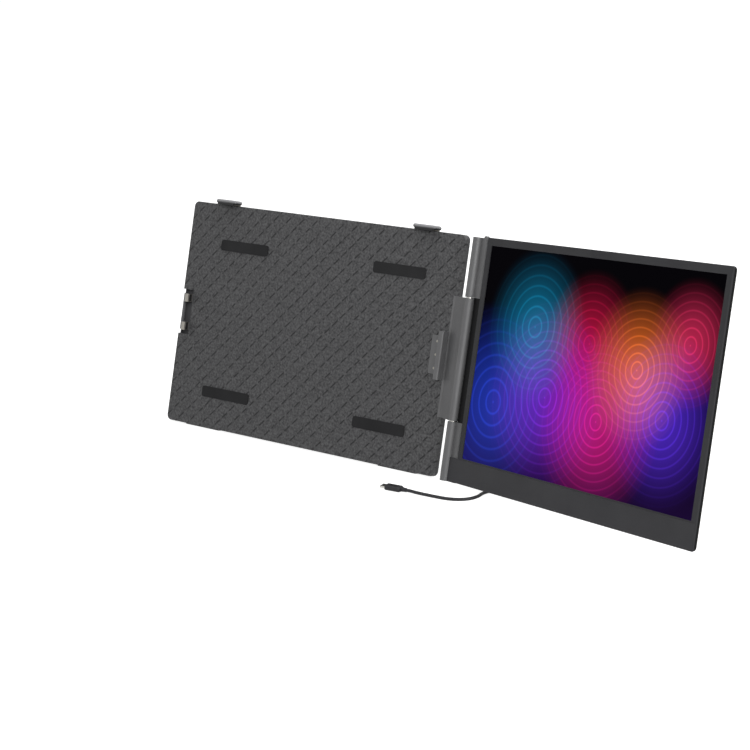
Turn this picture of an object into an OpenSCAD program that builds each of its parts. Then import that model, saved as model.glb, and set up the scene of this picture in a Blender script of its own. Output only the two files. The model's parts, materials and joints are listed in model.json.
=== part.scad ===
// Laptop screen extender: a second display that hangs beside a laptop's own.
// A flat frame clamps behind the lid with one fixed hook and three sprung claws. A friction
// hinge of three knuckles joins the display to the frame's right edge, and a kickstand takes
// the weight at the back. It stands as in use, with the lid leaning back and the display
// swung a little towards the user. The origin lies on the frame's front face, half way up it and
// behind the middle of the lid.

/* [Frame] */
// Width of the frame behind the lid
frame_w = 385; // [382:1:430]
// Distance of the lid's middle from the frame's left edge
lid_mid = 195; // [190:1:198]
// Height of the frame
frame_h = 250; // [240:1:280]
// Thickness of the closed frame
frame_t = 8; // [8:0.1:10]
// Radius of the frame's corners
frame_r = 6; // [4:0.5:9]
// Wall thickness of the frame's two halves
wall = 1.6; // [1.2:0.1:1.8]
// Lean of the lid and frame from upright, in degrees
lean = 18.35; // [8:0.05:30]

/* [Laptop lid] */
// Width of the lid that the frame holds
lid_w = 362; // [350:1:366]
// Thickness of that lid
lid_t = 6; // [4:0.1:8]
// Height of the lid's top edge above the frame's top edge
lid_rise = 1; // [0.5:0.1:3]

/* [Claws] */
// Length of the fixed hook along the lid's right edge
hook_h = 50; // [40:1:60]
// Length of the left claw along the lid's left edge
claw_h = 41; // [34:1:44]
// Length of the left claw's pocket in the frame
pocket_h = 50.4; // [48:0.1:60]
// Height of the side claws' middle above the frame's lower edge
claw_z = 124.5; // [110:0.5:140]
// Width of a top claw
top_claw_w = 30; // [24:1:36]
// Distance of a top claw's middle from the frame's middle
top_claw_x = 140; // [115:1:150]
// Travel of a sliding claw, from its inner stop outwards
claw_travel = 20; // [12:1:24]
// Reach of the side lips over the lid
side_grip = 3.3; // [2:0.1:5]
// Reach of the top lips over the lid
top_grip = 1.5; // [1:0.1:3]
// Thickness of a lip
lip_t = 1.6; // [1.2:0.1:2]
// Diameter of the bead along a top claw
bead_d = 4.4; // [3.6:0.1:5]
// Thickness of a claw's slide plate
slide_t = 2; // [1.6:0.1:2.2]

/* [Hinge] */
// Diameter of the hinge barrels
barrel_d = 10.3; // [9:0.1:12]
// Diameter of the hinge pins
pin_d = 5; // [4:0.1:6]
// Gap between the frame's edge and the barrels
hinge_gap = 16.75; // [14:0.05:21]
// Distance of the hinge axis in front of the frame's front face
axis_out = 10; // [10:0.1:14]
// Length of the middle knuckle, on the frame
knuckle_h = 125; // [105:1:140]
// Height of the middle knuckle's middle above the frame's lower edge
knuckle_z = 124.5; // [115:0.5:135]
// Gap between the middle knuckle and its neighbours
knuckle_gap = 1; // [0.6:0.05:1.5]
// Swing of the display towards the user, from flat with the frame, in degrees
swing = 18.15; // [0:0.05:60]

/* [Display] */
// Width of the picture area
panel_w = 344.7; // [309:0.1:382]
// Height of the picture area
panel_h = 215.4; // [193:0.1:215.4]
// Bezel at the left of the picture
bezel_left = 7.5; // [4:0.1:12]
// Bezel at the right of the picture
bezel_right = 7.1; // [5:0.1:14]
// Bezel above the picture
bezel_top = 7.8; // [5:0.1:14]
// Chin below the picture
chin_h = 25.9; // [16:0.1:30]
// Width of the hinge leaf's flange, from the axis to the bezel
flange_w = 18; // [17:0.1:26]
// Height of the display's lower edge above the frame's lower edge
display_z = 1; // [0.5:0.1:4]
// Thickness of the display away from its electronics
display_t = 7; // [6.6:0.1:9]
// Depth of the electronics housing behind the display's back
bulge_out = 6.2; // [6.2:0.1:9]
// Radius of the bezel's corners
bezel_r = 1.5; // [1:0.1:3]
// Radius of the back shell's corners
display_r = 4; // [3:0.1:6]

/* [Kickstand] */
// Width of the kickstand panel
stand_w = 180; // [140:1:196]
// Length of the kickstand, from its pins to its foot
stand_l = 160; // [140:1:161]
// Height of the kickstand's pins above the frame's lower edge
stand_z = 164; // [164:0.5:176]
// Thickness of the kickstand panel
stand_t = 2.4; // [2:0.1:2.6]

/* [Lead] */
// Diameter of the lead's cable
cord_d = 3.4; // [2.8:0.1:4]

/* [Hidden] */

e = 0.01;
fine = 64;
barrel_r = barrel_d / 2;
frame_left = -lid_mid;
frame_right = frame_w - lid_mid;
split = frame_t / 2;
edge = 0.8;
fit = 0.1;

// Lid pocket: pads lie on the front face, the lid in front of them, the lips over the lid.
pad_t = 1;
face_pad_t = 0.8;
lid_front = -pad_t - lid_t;
lip_front = lid_front - lip_t;
lid_x = lid_w / 2;
lid_top = frame_h + lid_rise;
claw_wall = 2;
hook_in = lid_x + face_pad_t;
hook_out = hook_in + claw_wall;

// Slides run between the front wall and ribs in the cover.
slide_gap = 0.3;
slide_y = wall + slide_gap;
slide_back = slide_y + slide_t;
pocket_in = lid_x - 2.5;
slide_l = 58;
stop_x = lid_mid - 45;
finger_h = 9;
finger_z = (claw_h - finger_h) / 2;
stop_d = 4;
top_slide_w = 24;
top_slide_l = 50;
top_stop_z = frame_h - 30;
spring_d = 2;
spring_wire = 0.4;
spring_l = 38;
spring_y = slide_y + slide_t / 2;
anchor_t = 4;

// Hinge axis, and the knuckles along it.
axis_x = frame_right + hinge_gap + barrel_r;
axis_y = -axis_out;
knuckle_z0 = knuckle_z - knuckle_h / 2;
knuckle_z1 = knuckle_z + knuckle_h / 2;
arm_x = hook_out + 0.2;
tongue_x = arm_x - 34;
tongue_y = wall + 1;
tongue_t = 1.8;
pin_run = 24;
pin_fit = 0.05;
washer_gap = 0.15;
washer_t = knuckle_gap - 2 * washer_gap;
washer_d = pin_d + 2.5;

// Display, from the hinge axis outwards, along it and behind the bezel's face.
face_y = -1;
disp_x0 = flange_w;
pic_x0 = disp_x0 + bezel_left;
pic_x1 = pic_x0 + panel_w;
disp_x1 = pic_x1 + bezel_right;
disp_z0 = display_z;
pic_z0 = disp_z0 + chin_h;
pic_z1 = pic_z0 + panel_h;
disp_z1 = pic_z1 + bezel_top;
bezel_t = 1;
panel_y = face_y + bezel_t;
panel_t = 1.8;
tray_t = 1.2;
rim_y = panel_y + 0.4;
shell_y = face_y + display_t;
shell_wall = 1.2;
tray_back = panel_y + panel_t + tray_t;
leaf_z0 = disp_z0 - 0.5;
leaf_z1 = disp_z1 - 1;
lug_d = 5;
leaf_low = knuckle_z0 - knuckle_gap;
leaf_high = knuckle_z1 + knuckle_gap;
leaf_y = shell_y - 1;
flange_y = face_y + 1.8;
wing_y = tray_back + 0.1;
wing_t = 1;
wing_x = 40;
wings = [[leaf_z0 + 6, leaf_low - 3], [leaf_high + 3, leaf_z1 - 6]];
chin_top = pic_z0 - 1.3;

// Electronics housing low on the display's back, with the sockets in its left end.
bulge_x0 = 97;
bulge_x1 = 297;
bulge_z0 = disp_z0 + 10;
bulge_z1 = disp_z0 + 92;
bulge_y = shell_y + bulge_out;
board_y = shell_y + 0.2;
board_t = 1.2;
port_h = 3.2;
port_y = board_y + board_t + port_h / 2;
usb_z = [disp_z0 + 19, disp_z0 + 35];
hdmi_z = disp_z0 + 53;
socket_depth = 7.4;
button_x = [230, 246, 262];
button_d = 6;
button_travel = 0.5;
button_z = disp_z0 + 24;

// Kickstand: pins, panel and foot, opened until the foot is level with the frame's feet.
foot_pad_t = 0.8;
foot_y = [1.5, 6.5];
floor_z = -foot_y[1] * sin(lean) - (frame_h / 2 + foot_pad_t) * cos(lean);
stand_y = frame_t - 1.4;
foot_r = 1.4;
pin_h = stand_y * -sin(lean) + (stand_z - frame_h / 2) * cos(lean) - floor_z;
stand_angle = lean + acos((pin_h - foot_r) / (stand_l - foot_r));
recess_y = frame_t - 3;
stand_pin_d = 1.6;
knuckle_r = 1.5;
stand_lug_x = stand_w / 2 - 28;
stand_knuckle_w = 16;
stand_lug_w = 4;

// Screws, their bosses and where they stand.
screw_d = 2.4;
head_d = 4.4;
boss_d = 6;
screw_in = 17;
cover_screw_at = [
    for (x = [frame_left + screw_in, frame_right - screw_in], z = [14, frame_h - 14]) [x, z],
    [0, frame_h - 14], [-105, 14], [105, 14]
];
arm_screw_at = [for (x = [8, 26], z = [knuckle_z0 + 10, knuckle_z1 - 10]) [tongue_x + x, z]];
rivet_at = [for (z = [-14, 0, 14]) [lid_x - 9, claw_z + z]];
leaf_screw_at = [for (w = wings, z = [w[0] + 10, w[1] - 10]) [wing_x - 7, z]];
shell_screw_at = [
    for (x = [disp_x0 + 60, disp_x1 - 60], z = [disp_z0 + 118, disp_z1 - 14]) [x, z],
    [disp_x1 - 40, disp_z0 + 14]
];

// Lead: plug sizes, and the route of its cable from the display's socket to the floor.
plug_w = 10;
plug_t = 5.6;
plug_l = 18;
relief_l = 6;
shell_w = 8.3;
shell_t = 2.4;
shell_l = 6.5;
plug_at = [189, -82.3];
plug_turn = 4;
cord_route = [
    [285.1, -56.3, -92], [279, -54.4, -92.6], [271.5, -51.6, -94.5], [263, -46.5, -99.5],
    [256, -37, -107.5], [252, -25, -115.5], [252, -11, -119.7], [258, 2, -119.7],
    [269, 10, -119.7], [282, 10, -119.7], [291, 1, -119.7], [292, -12, -119.7],
    [285, -22.5, -119.7], [275, -29.5, -119.7], [265.5, -37, -119.7], [260.5, -47, -119.7],
    [260.8, -58.5, -119.7], [257.5, -67.5, -119.7], [249.5, -74.5, -119.7], [238, -78.7, -119.7],
    [225, -80, -119.7], [212, -80.5, -119.7], [201, -81.2, -119.4], [194, -81.9, -118.8],
    [187.5, -82.4, -118.7]
];
cord_steps = 3;

// ---------------------------------------------------------------- placing and shaping

// From the frame's own axes, x right, y back, z up from its lower edge, to where it stands.
module placed() {
    rotate([-lean, 0, 0]) translate([0, 0, -frame_h / 2]) children();
}

// The display's own axes start at the hinge axis, with x along the display.
module on_display() {
    placed() translate([axis_x, axis_y, 0]) rotate([0, 0, -swing]) children();
}

// The kickstand's own axes start at its pins, with the panel hanging down.
module on_stand() {
    placed() translate([0, stand_y, stand_z]) rotate([stand_angle, 0, 0]) children();
}

// A profile drawn in x and z, from depth y0 back to y1.
module sheet(y0, y1) {
    translate([0, y1, 0]) rotate([90, 0, 0]) linear_extrude(height = y1 - y0) children();
}

// A profile drawn in x and y, from height z0 up to z1.
module rise(z0, z1) {
    translate([0, 0, z0]) linear_extrude(height = z1 - z0) children();
}

// A box given by its two corners.
module box(a, b) {
    translate(a) cube(b - a);
}

// A round rod along y.
module rod_y(x, z, y0, y1, d) {
    translate([x, y1, z]) rotate([90, 0, 0]) cylinder(h = y1 - y0, d = d, $fn = 32);
}

// A round rod along x.
module rod_x(y, z, x0, x1, d) {
    translate([x0, y, z]) rotate([0, 90, 0]) cylinder(h = x1 - x0, d = d, $fn = 32);
}

// A rectangle with round corners.
module rounded(x0, x1, z0, z1, r) {
    translate([x0 + r, z0]) square([x1 - x0 - 2 * r, z1 - z0]);
    translate([x0, z0 + r]) square([x1 - x0, z1 - z0 - 2 * r]);
    for (x = [x0 + r, x1 - r], z = [z0 + r, z1 - r]) translate([x, z]) circle(r, $fn = 32);
}

// A plate with round corners whose outline steps in by each layer's third value.
module slab(x0, x1, z0, z1, r, layers) {
    hull() {
        for (s = layers) {
            sheet(s[0], s[1]) rounded(x0 + s[2], x1 - s[2], z0 + s[2], z1 - s[2], r);
        }
    }
}

// A cross-head screw along y, its head at the back.
module screw(x, z, head_y, head_t, tip_y) {
    difference() {
        union() {
            rod_y(x, z, head_y, head_y + head_t, head_d);
            rod_y(x, z, tip_y, head_y + e, screw_d);
        }
        for (a = [0, 90]) {
            translate([x, head_y + head_t, z]) rotate([0, a, 0]) cube([2.6, 0.9, 0.5], center = true);
        }
    }
}

// Points of a smooth curve through a route, with steps to each stretch.
function curve_point(p, i, t) =
    let (
        a = p[max(i - 1, 0)],
        b = p[i],
        c = p[i + 1],
        d = p[min(i + 2, len(p) - 1)]
    )
    0.5 * (2 * b + (c - a) * t + (2 * a - 5 * b + 4 * c - d) * t * t
        + (3 * b - a - 3 * c + d) * t * t * t);
function smooth(p, steps) = concat(
    [for (i = [0:len(p) - 2], k = [0:steps - 1]) curve_point(p, i, k / steps)],
    [p[len(p) - 1]]
);

// Directions along a path, and one direction across it that turns as little as it can.
function unit(v) = v / norm(v);
function heading(p, i) = unit(p[min(i + 1, len(p) - 1)] - p[max(i - 1, 0)]);
function across(v, t) = unit(v - (v * t) * t);
function sides_of(p, i = 0, was = [0.1, 0.2, 1]) =
    i == len(p) ? [] : let (s = across(was, heading(p, i))) concat([s], sides_of(p, i + 1, s));

// A round tube swept along a path.
module tube(path, r, n) {
    side = sides_of(path);
    points = [
        for (i = [0:len(path) - 1])
            let (t = heading(path, i), s = side[i], u = cross(t, s))
            for (k = [0:n - 1]) path[i] + r * (cos(360 * k / n) * s + sin(360 * k / n) * u)
    ];
    last = len(path) - 1;
    skin = [
        for (i = [0:last - 1], k = [0:n - 1])
            let (m = (k + 1) % n)
            each [
                [i * n + k, (i + 1) * n + k, (i + 1) * n + m],
                [i * n + k, (i + 1) * n + m, i * n + m]
            ]
    ];
    ends = [
        [for (k = [0:n - 1]) k],
        [for (k = [n - 1:-1:0]) last * n + k]
    ];
    polyhedron(points, concat(skin, ends), convexity = 4);
}

// A close-wound tension spring along x, from x0.
module spring(x0, l) {
    turns = 15;
    per_turn = 8;
    lead_in = spring_wire / 2;
    run = l - 2 * lead_in;
    mean_r = (spring_d - spring_wire) / 2;
    count = turns * per_turn;
    tube([
        for (i = [0:count])
            let (a = 360 * i / per_turn)
            [x0 + lead_in + run * i / count, mean_r * cos(a), mean_r * sin(a)]
    ], spring_wire / 2, 5);
}

// ---------------------------------------------------------------- frame

// The claw pocket in the left edge and the arm's seat in the right edge, cut through a half.
module edge_cuts(y0, y1) {
    box([frame_left - 1, y0, claw_z - pocket_h / 2], [-pocket_in, y1, claw_z + pocket_h / 2]);
    box([arm_x - fit, y0, knuckle_z0], [frame_right + 1, y1, knuckle_z1]);
}

// Mouths in the top edge for the top slides.
module top_mouths() {
    for (s = [-1, 1]) {
        x = s * top_claw_x;
        half = top_slide_w / 2 + slide_gap;
        box([x - half, slide_y - 0.2, frame_h - wall - 1], [x + half, slide_back + 0.2, frame_h + 1]);
    }
}

// Ribs beside a slide, its stop and its spring's anchor, drawn for a slide that moves along +x.
module slide_guides(x_out, half, x_stop, x_spring) {
    for (s = [-1, 1]) {
        z = s * (half + slide_gap + 0.6);
        box([x_spring + 34, wall - e, z - 0.6], [x_out, split, z + 0.6]);
    }
    rod_y(x_stop, 0, wall - e, split, stop_d);
    box([x_spring - anchor_t, wall - e, -3], [x_spring, split, 3]);
}

// Turns what is drawn for a slide along +x to the left claw's or a top claw's place.
module at_left_claw() {
    translate([0, 0, claw_z]) mirror([1, 0, 0]) children();
}

module at_top_claw(s) {
    translate([s * top_claw_x, 0, 0]) rotate([0, -90, 0]) children();
}

left_slide_x = pocket_in - slide_l;
top_slide_z = frame_h - top_slide_l;

module front_plate() {
    color("#4b4b4c") placed() {
        difference() {
            slab(frame_left, frame_right, 0, frame_h, frame_r, [[0, e, edge], [edge, split, 0]]);
            sheet(wall, split + 1)
                rounded(frame_left + wall, frame_right - wall, wall, frame_h - wall, frame_r - wall);
            edge_cuts(-1, split + 1);
            top_mouths();
            for (p = rivet_at) rod_y(p[0], p[1], -1, wall + 1, 2.6);
            for (p = arm_screw_at) rod_y(p[0], p[1], 0.6, wall + 1, screw_d + fit);
        }
        for (p = cover_screw_at) {
            difference() {
                rod_y(p[0], p[1], wall - e, split, boss_d);
                rod_y(p[0], p[1], wall, split + 1, screw_d + fit);
            }
        }
        for (p = arm_screw_at) {
            difference() {
                rod_y(p[0], p[1], wall - e, tongue_y, 5);
                rod_y(p[0], p[1], wall - 1, tongue_y + 1, screw_d + fit);
            }
        }
        at_left_claw() slide_guides(pocket_in, claw_h / 2, stop_x, left_slide_x - spring_l - 0.6);
        for (s = [-1, 1]) {
            at_top_claw(s)
                slide_guides(frame_h - wall, top_slide_w / 2, top_stop_z, top_slide_z - spring_l - 0.6);
        }
    }
}

module back_cover() {
    half = stand_w / 2 + 0.6;
    recess_z = [stand_z - stand_l - 0.8, stand_z + 2.6];
    color("#3f3f40") placed() {
        difference() {
            slab(frame_left, frame_right, 0, frame_h, frame_r,
                [[split, frame_t - edge, 0], [frame_t - e, frame_t, edge]]);
            difference() {
                sheet(split - 1, frame_t - wall)
                    rounded(frame_left + wall, frame_right - wall, wall, frame_h - wall, frame_r - wall);
                box([-half - wall, split - 2, 0], [half + wall, frame_t, recess_z[1] + wall]);
            }
            box([-half, recess_y, recess_z[0]], [half, frame_t + 1, recess_z[1]]);
            rod_y(0, recess_z[0], recess_y, frame_t + 1, 26);
            for (p = cover_screw_at) rod_y(p[0], p[1], frame_t - 1.2, frame_t + 1, head_d + 0.2);
            box([arm_x - fit, split - 1, knuckle_z0], [frame_right + 1, frame_t - wall, knuckle_z1]);
            box([arm_x - 6, split - 1, knuckle_z0], [arm_x, frame_t - wall, knuckle_z1]);
            box([frame_left - 1, split - 1, claw_z - pocket_h / 2],
                [-pocket_in, slide_back + 0.2, claw_z + pocket_h / 2]);
            top_mouths();
            for (p = cover_screw_at) rod_y(p[0], p[1], split, frame_t, screw_d + 2 * fit);
        }
        for (p = cover_screw_at) {
            difference() {
                rod_y(p[0], p[1], split, frame_t - wall + e, boss_d);
                rod_y(p[0], p[1], split - 1, frame_t, screw_d + 2 * fit);
            }
        }
        for (s = [-1, 1], side = [-1, 1]) {
            x = s * stand_lug_x + side * (stand_knuckle_w / 2 + stand_lug_w / 2 + 0.3);
            difference() {
                union() {
                    rod_x(stand_y, stand_z, x - stand_lug_w / 2, x + stand_lug_w / 2, 2 * knuckle_r);
                    box([x - stand_lug_w / 2, recess_y - e, stand_z - knuckle_r],
                        [x + stand_lug_w / 2, stand_y, stand_z + knuckle_r]);
                }
                rod_x(stand_y, stand_z, x - 5, x + 5, stand_pin_d + fit);
            }
        }
        at_left_claw() cover_ribs(left_slide_x, pocket_in - 2, claw_h / 2 - 6);
        for (s = [-1, 1]) {
            at_top_claw(s) cover_ribs(top_slide_z, frame_h - wall - 1, top_slide_w / 2 - 3);
        }
    }
}

// Two ribs in the cover that keep a slide against the front wall.
module cover_ribs(x0, x1, half) {
    for (s = [-1, 1]) {
        box([x0, slide_back + 0.2, s * half - 0.6], [x1, frame_t - wall + e, s * half + 0.6]);
    }
}

module cover_screws() {
    color("#1d1d1e") placed()
        for (p = cover_screw_at) screw(p[0], p[1], frame_t - 1.2, 1.1, wall + 0.3);
}

module lid_pads() {
    color("#1a1a1a") placed()
        for (x = [-110, 110], z = [40, 205]) {
            sheet(-pad_t, 0) rounded(x - 35, x + 35, z - 6, z + 6, 3);
        }
}

module bottom_pads() {
    color("#1a1a1a") placed()
        for (x = [-140, 140]) {
            box([x - 25, foot_y[0], -foot_pad_t], [x + 25, foot_y[1], 0]);
        }
}

// ---------------------------------------------------------------- hooks and claws

// A hook's outline in x and y: a wall outside the lid's edge, with a lip that turns in over
// the lid in a round corner. The wall starts at depth foot_y0.
module hook_outline(foot_depth, grip) {
    r = 1.5;
    lip_x = lid_x - grip;
    polygon(concat(
        [[hook_in, foot_depth], [hook_in, lid_front], [lip_x, lid_front], [lip_x + 0.4, lip_front]],
        [for (a = [-90:15:0]) [hook_out - r + r * cos(a), lip_front + r + r * sin(a)]],
        [[hook_out, foot_depth]]
    ));
}

module hook_right() {
    color("#555556") placed() difference() {
        union() {
            rise(claw_z - hook_h / 2, claw_z + hook_h / 2) hook_outline(-pad_t, side_grip);
            box([hook_in, -pad_t - e, claw_z - hook_h / 2], [hook_out, 0, claw_z + hook_h / 2]);
            sheet(-pad_t, 0) rounded(lid_x - 16, hook_out, claw_z - 20, claw_z + 20, 2);
        }
        for (p = rivet_at) rod_y(p[0], p[1], -pad_t - 1, 1, 2.6);
    }
}

module hook_right_pad() {
    color("#1a1a1a") placed()
        box([lid_x, lid_front + 0.3, claw_z - hook_h / 2 + 2],
            [hook_in, -pad_t - 0.3, claw_z + hook_h / 2 - 2]);
}

module hook_rivets() {
    color("#8f8f90") placed()
        for (p = rivet_at) {
            rod_y(p[0], p[1], -pad_t, wall + e, 2.5);
            rod_y(p[0], p[1], wall, wall + 0.8, 4.5);
        }
}

// A slide plate that moves along +x: a slot round the stop, and a spring eye at its inner end.
module slide_plate(x0, x1, half, x_stop) {
    clear = 0.3;
    sheet(slide_y, slide_back) difference() {
        rounded(x0, x1, -half, half, 1);
        rounded(x_stop - claw_travel - stop_d / 2 - clear, x_stop + stop_d / 2 + clear,
            -stop_d / 2 - clear, stop_d / 2 + clear, stop_d / 2 + clear - e);
    }
}

// Two arms lead from the slide to a pull bar at the frame's edge, with a window between them.
module claw_left_slide() {
    half = claw_h / 2;
    pull_x = lid_mid - 0.5;
    color("#8a8984") placed() at_left_claw() {
        slide_plate(left_slide_x, pocket_in - 1, half, stop_x);
        sheet(slide_y, slide_back) {
            rounded(pull_x - 3, pull_x, -half, half, 1);
            for (s = [-1, 1]) {
                z = s * finger_z;
                rounded(pocket_in - 4, pull_x - 1, z - finger_h / 2, z + finger_h / 2, 1);
            }
        }
    }
}

// A hooked finger stands on each arm, with a rib down its outer side.
module claw_left_hook() {
    rib_t = 2;
    color("#a8a69f") placed() at_left_claw() {
        for (s = [-1, 1]) {
            z = s * finger_z;
            rise(z - finger_h / 2, z + finger_h / 2) hook_outline(slide_y, side_grip);
            rise(z - rib_t / 2, z + rib_t / 2)
                polygon([[hook_out - e, -3], [hook_out - e, slide_y], [hook_out + 4, slide_y]]);
        }
    }
}

module claw_left_pad() {
    color("#1a1a1a") placed() at_left_claw() {
        for (s = [-1, 1]) {
            z = s * finger_z;
            box([lid_x, lid_front + 0.3, z - finger_h / 2 + 1], [hook_in, -0.3, z + finger_h / 2 - 1]);
        }
    }
}

module claw_left_spring() {
    color("#b5b5b8") placed() at_left_claw()
        translate([0, spring_y, 0]) spring(left_slide_x - spring_l - 0.3, spring_l);
}

top_hook_z = lid_top + face_pad_t;
top_pad_w = 20;
top_pad_y = lid_front + 2;

module top_slide(s) {
    color("#a8a69f") placed() at_top_claw(s)
        slide_plate(top_slide_z, top_hook_z, top_slide_w / 2, top_stop_z);
}

// A cushion-shaped bar over the lid's edge, with a lip in front of it. The slide's end and the
// pad sit in two pockets in its underside.
module top_hook(s) {
    half = top_claw_w / 2;
    bar_r = bead_d / 2;
    bar_z = lid_top + 0.1 + bar_r;
    color("#6b6b6c") placed() translate([s * top_claw_x, 0, 0]) difference() {
        union() {
            hull() {
                for (x = [bar_r - half, half - bar_r], y = [lip_front + bar_r, slide_back - bar_r]) {
                    translate([x, y, bar_z]) sphere(bar_r, $fn = 32);
                }
            }
            box([3 - half, lip_front + 0.2, lid_top - top_grip], [half - 3, lid_front, bar_z]);
        }
        box([-top_slide_w / 2, slide_y, lid_top - 1], [top_slide_w / 2, slide_back + 1, top_hook_z]);
        box([-top_pad_w / 2, top_pad_y, lid_top - 1], [top_pad_w / 2, slide_y + e, top_hook_z]);
    }
}

module top_pad(s) {
    color("#1a1a1a") placed() translate([s * top_claw_x, 0, 0])
        box([-top_pad_w / 2, top_pad_y, lid_top], [top_pad_w / 2, -0.3, top_hook_z]);
}

module top_spring(s) {
    color("#b5b5b8") placed() at_top_claw(s)
        translate([0, spring_y, 0]) spring(top_slide_z - spring_l - 0.3, spring_l);
}

// ---------------------------------------------------------------- hinge

// Where a straight line from p, a point given from the axis, runs into the barrel.
function touch(p, side) =
    let (r = barrel_r - 0.1, a = atan2(p[1], p[0]) + side * acos(r / norm(p)))
    [r * cos(a), r * sin(a)];

module hinge_arm() {
    edge_x = frame_right - axis_x;
    root_x = arm_x - axis_x;
    rear_y = frame_t - wall - axis_y;
    front = [root_x + 2.4, axis_out];
    rear = [edge_x, rear_y];
    crease = (barrel_r - 0.1) * [cos(218), sin(218)];
    color("#5d5d5e") placed() difference() {
        union() {
            translate([axis_x, axis_y, 0]) rise(knuckle_z0, knuckle_z1) {
                polygon([
                    [root_x, axis_out], front, crease, [0, 0], touch(rear, -1), rear,
                    [root_x, rear_y]
                ]);
                circle(barrel_r, $fn = fine);
            }
            sheet(tongue_y, tongue_y + tongue_t)
                rounded(tongue_x, arm_x + 1, knuckle_z0 + 3, knuckle_z1 - 3, 2);
        }
        for (z = [knuckle_z0 - 1, knuckle_z1 - pin_run]) {
            translate([axis_x, axis_y, z]) cylinder(h = pin_run + 1, d = pin_d + 2 * pin_fit, $fn = fine);
        }
        for (p = arm_screw_at) rod_y(p[0], p[1], 0, frame_t, screw_d + 2 * fit);
    }
}

module hinge_arm_screws() {
    color("#1d1d1e") placed()
        for (p = arm_screw_at) screw(p[0], p[1], tongue_y + tongue_t, 1.2, 0.8);
}

// A leaf's outline in x and y: a barrel, and a flange that runs from it down to the bezel. The
// upper leaf ends in a round lug that stands a little above the display's top edge.
module leaf_outline() {
    run = 5;
    rise = flange_y - face_y - 0.2;
    cove_r = (run * run + rise * rise) / (2 * rise);
    rear = [flange_w, leaf_y];
    circle(barrel_r, $fn = fine);
    polygon([
        [0, flange_y],
        for (i = [0:4]) let (a = asin(run / cove_r) * i / 4)
            [flange_w - run + cove_r * sin(a), flange_y - cove_r * (1 - cos(a))],
        rear, touch(rear, 1)
    ]);
}

// The same where the chin's cover lies over the flange, which is flat there.
module chin_leaf_outline() {
    rear = [flange_w, leaf_y];
    circle(barrel_r, $fn = fine);
    polygon([[0, face_y + 0.5], touch(rear, 1), rear, [flange_w, face_y + 0.5]]);
}

module hinge_leaf() {
    color("#5d5d5e") on_display() difference() {
        union() {
            rise(leaf_z0, chin_top + 0.1) chin_leaf_outline();
            rise(chin_top + 0.1, leaf_low) leaf_outline();
            rise(leaf_high, leaf_z1) leaf_outline();
            rod_y(flange_w - 6.5, leaf_z1 - 0.3, flange_y, flange_y + 3.4, lug_d);
            sheet(wing_y, wing_y + wing_t)
                for (w = wings) rounded(flange_w - 2, wing_x, w[0], w[1], 2);
        }
        translate([0, 0, leaf_z0 - 1])
            cylinder(h = leaf_z1 - leaf_z0 + 2, d = pin_d + 2 * pin_fit, $fn = fine);
        for (z = [leaf_z0 - 1, leaf_z1 - 1.6]) {
            translate([0, 0, z]) cylinder(h = 2.6, d = barrel_d - 2, $fn = fine);
        }
        for (p = leaf_screw_at) rod_y(p[0], p[1], wing_y - 1, wing_y + 3, screw_d + 2 * fit);
    }
}

module hinge_pins() {
    deep = pin_run - 1;
    color("#9b9ba0") on_display() {
        translate([0, 0, leaf_z0 + 1.7])
            cylinder(h = knuckle_z0 + deep - leaf_z0 - 1.7, d = pin_d, $fn = fine);
        translate([0, 0, knuckle_z1 - deep])
            cylinder(h = leaf_z1 - 1.7 - knuckle_z1 + deep, d = pin_d, $fn = fine);
    }
}

module friction_washers() {
    color("#a9823f") on_display()
        for (z = [knuckle_z0 - washer_gap - washer_t, knuckle_z1 + washer_gap]) {
            translate([0, 0, z]) difference() {
                cylinder(h = washer_t, d = washer_d, $fn = fine);
                translate([0, 0, -1]) cylinder(h = washer_t + 2, d = pin_d + 4 * pin_fit, $fn = fine);
            }
        }
}

module barrel_caps() {
    color("#4c4c4d") on_display()
        for (z = [leaf_z0, leaf_z1 - 1.6]) {
            translate([0, 0, z]) cylinder(h = 1.6, d = barrel_d - 2.1, $fn = fine);
        }
}

module leaf_screws() {
    back = wing_y + wing_t;
    color("#1d1d1e") on_display()
        for (p = leaf_screw_at) {
            rod_y(p[0], p[1], back, back + 0.5, head_d);
            rod_y(p[0], p[1], panel_y + panel_t + 0.3, back + e, screw_d);
        }
}

// ---------------------------------------------------------------- display

module display_bezel() {
    inner = shell_wall + fit;
    color("#464647") on_display() difference() {
        union() {
            slab(disp_x0, disp_x1, disp_z0, disp_z1, bezel_r,
                [[face_y, face_y + e, 0.4], [face_y + 0.4, rim_y, 0]]);
            sheet(rim_y - e, rim_y + 1.6)
                rounded(disp_x0 + inner, disp_x1 - inner, disp_z0 + inner, disp_z1 - inner, display_r - inner);
        }
        box([pic_x0, face_y - 1, pic_z0], [pic_x1, shell_y, pic_z1]);
        box([pic_x0 - 2.4, panel_y, pic_z0 - 2.4], [pic_x1 + 2.4, shell_y, pic_z1 + 2.4]);
        box([disp_x0 + 2, rim_y, disp_z0 + 2.6], [disp_x1 - 2.6, shell_y, disp_z0 + chin_h]);
        box([disp_x0 - 1, face_y - 1, disp_z0 - 1], [disp_x1 - 1, face_y + 0.55, chin_top + 0.1]);
    }
}

// The chin's own cover, which also reaches left over the flange to the barrel.
module chin_cover() {
    color("#3d3d3e") on_display() difference() {
        slab(barrel_r - 1.2, disp_x1 - 1.1, disp_z0, chin_top, 1.2,
            [[face_y, face_y + 0.02, 0.2], [face_y + 0.2, face_y + 0.5, 0]]);
        translate([0, 0, -5]) cylinder(h = 60, r = barrel_r + 0.1, $fn = fine);
    }
}

module screen_panel() {
    color("#20123a") on_display()
        box([pic_x0 - 2.3, panel_y, pic_z0 - 2.3], [pic_x1 + 2.3, panel_y + panel_t, pic_z1 + 2.3]);
}

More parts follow.
